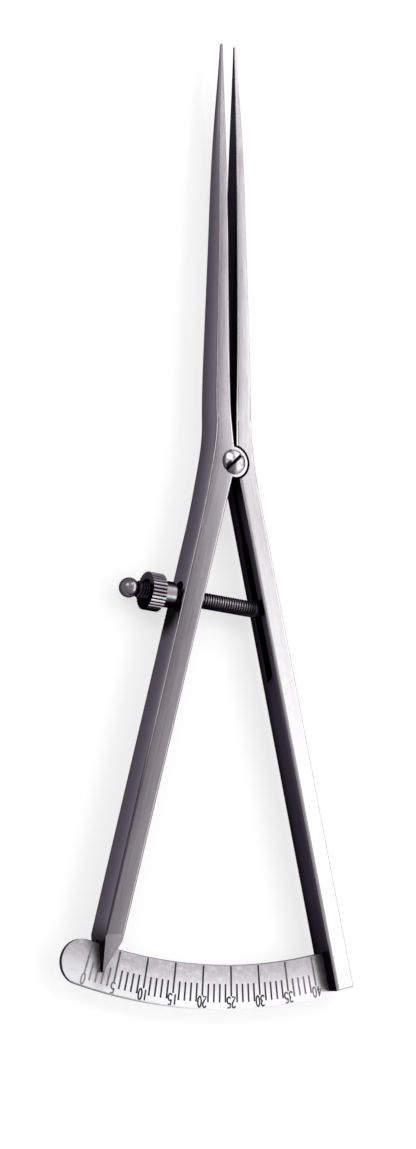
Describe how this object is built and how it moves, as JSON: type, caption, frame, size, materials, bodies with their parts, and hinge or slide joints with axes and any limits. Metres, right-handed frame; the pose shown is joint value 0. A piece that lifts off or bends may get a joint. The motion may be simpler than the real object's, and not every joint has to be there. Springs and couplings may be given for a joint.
{
  "type": "bone caliper",
  "caption": "Steel bone caliper with two tapered points on a half-lapped screw hinge, a pointer over a curved millimetre scale, and a knurled nut on a swinging threaded rod.",
  "frame": {"origin": "where the hinge axis meets the plane of the arms' flat back faces", "axes": "+Y from the hinge towards the measuring points, midway between them; +Z out of the face that carries the scale; +X towards the arm that carries the scale plate"},
  "size_m": [0.0565, 0.1806, 0.0069],
  "materials": {
    "scale_arm_steel": "satin",
    "pointer_arm_steel": "satin",
    "plate_steel": "satin, with black filled graduations",
    "screw_steel": "polished",
    "rod_steel": "turned thread",
    "pin_steel": "satin",
    "nut_steel": "knurled",
    "collar_steel": "turned",
    "ball_steel": "satin polished"
  },
  "bodies": {
    "scale_side": {"scale_arm": "scale_arm_steel", "scale_plate": "plate_steel", "pivot_screw": "screw_steel", "rod_pin": "pin_steel"},
    "pointer_side": {"pointer_arm": "pointer_arm_steel"},
    "rod_side": {"adjusting_rod": "rod_steel", "stop_ball": "ball_steel"},
    "collar": {"seat_collar": "collar_steel"},
    "nut": {"thumb_nut": "nut_steel"}
  },
  "joints": [
    {"name": "arms_open", "type": "hinge", "parent": "scale_side", "child": "pointer_side", "pos_m": [0, 0, 0.00285], "axis": [0, 0, 1], "range_deg": [0, 26.16]},
    {"name": "rod_swing", "type": "hinge", "parent": "scale_side", "child": "rod_side", "pos_m": [0.00839, -0.02656, 0.00285], "axis": [0, 0, 1], "range_deg": [0, 8.4]},
    {"name": "nut_travel", "type": "slide", "parent": "rod_side", "child": "collar", "axis": [-0.9982, 0.0602, 0], "range_m": [0, 0.0019]},
    {"name": "nut_spin", "type": "hinge", "parent": "collar", "child": "nut", "pos_m": [-0.0125, -0.0253, 0.00285], "axis": [-0.9982, 0.0602, 0], "range_deg": [0, 1368]}
  ],
  "couplings": [
    {"joint": "rod_swing", "follows": "arms_open", "ratio": 0.32},
    {"joint": "nut_spin", "follows": "nut_travel", "rad_per_m": 12566}
  ]
}
